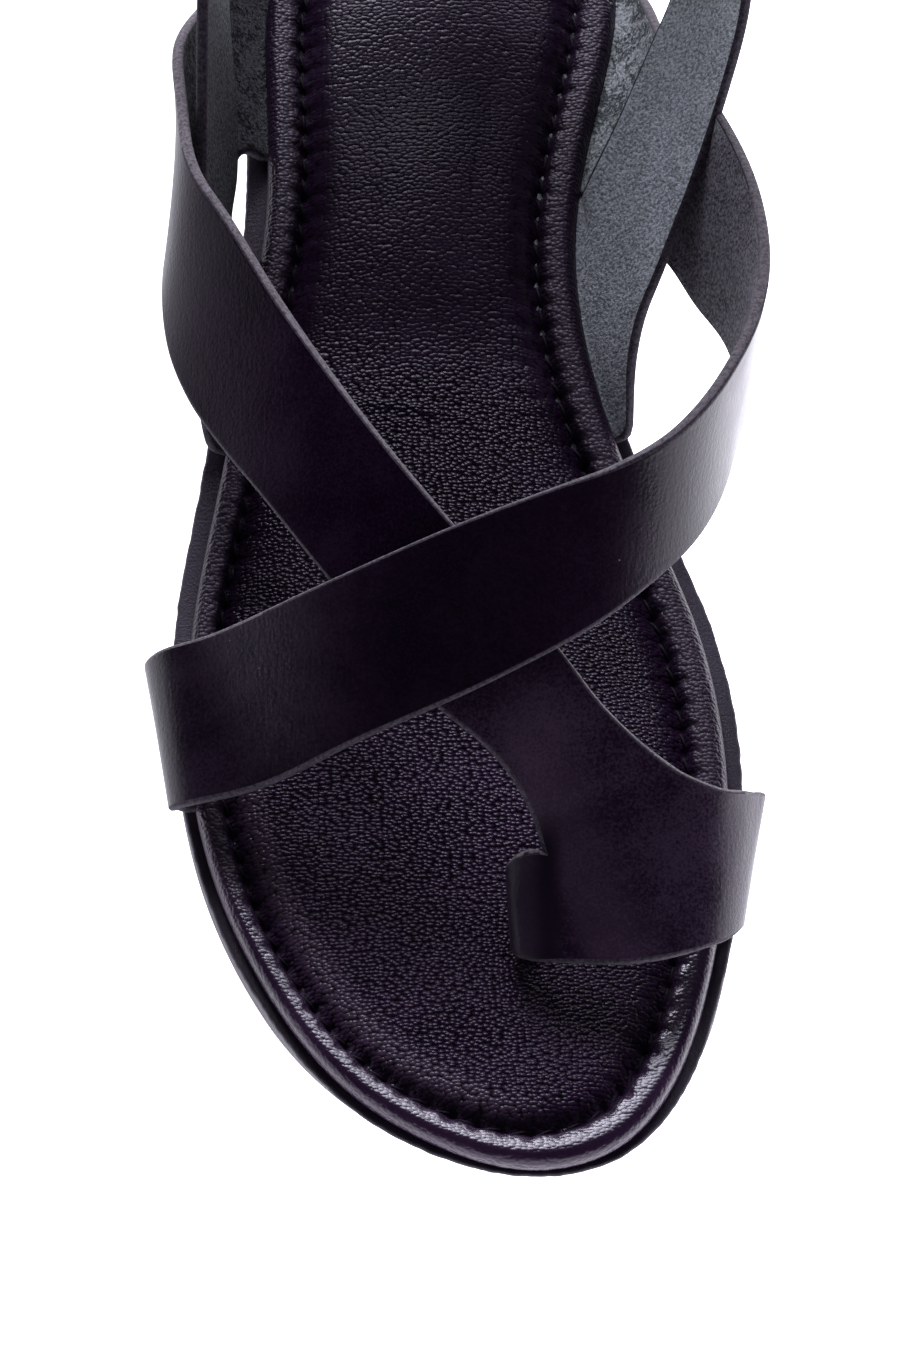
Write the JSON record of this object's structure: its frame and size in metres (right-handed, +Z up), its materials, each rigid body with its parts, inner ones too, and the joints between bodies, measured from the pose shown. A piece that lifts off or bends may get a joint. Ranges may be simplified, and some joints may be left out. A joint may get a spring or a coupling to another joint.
{
  "type": "leather sandal",
  "caption": "Right-foot flat leather sandal with crossed instep straps, a toe loop and a strap round the heel, on a padded footbed and a thin rubber outsole.",
  "frame": {"origin": "on the floor under the middle of the bounding box", "axes": "+Z up, -Y towards the toe, +X towards the big-toe side"},
  "size_m": [0.1034, 0.2571, 0.077],
  "materials": {
    "outsole_rubber": "matt black moulded rubber",
    "footbed_leather": "soft black grained leather over padding, half gloss",
    "strap_leather": "smooth black strap leather, satin, grey suede flesh side"
  },
  "bodies": {
    "root": {"outsole": "outsole_rubber", "footbed": "footbed_leather", "upper": "strap_leather"}
  },
  "joints": []
}
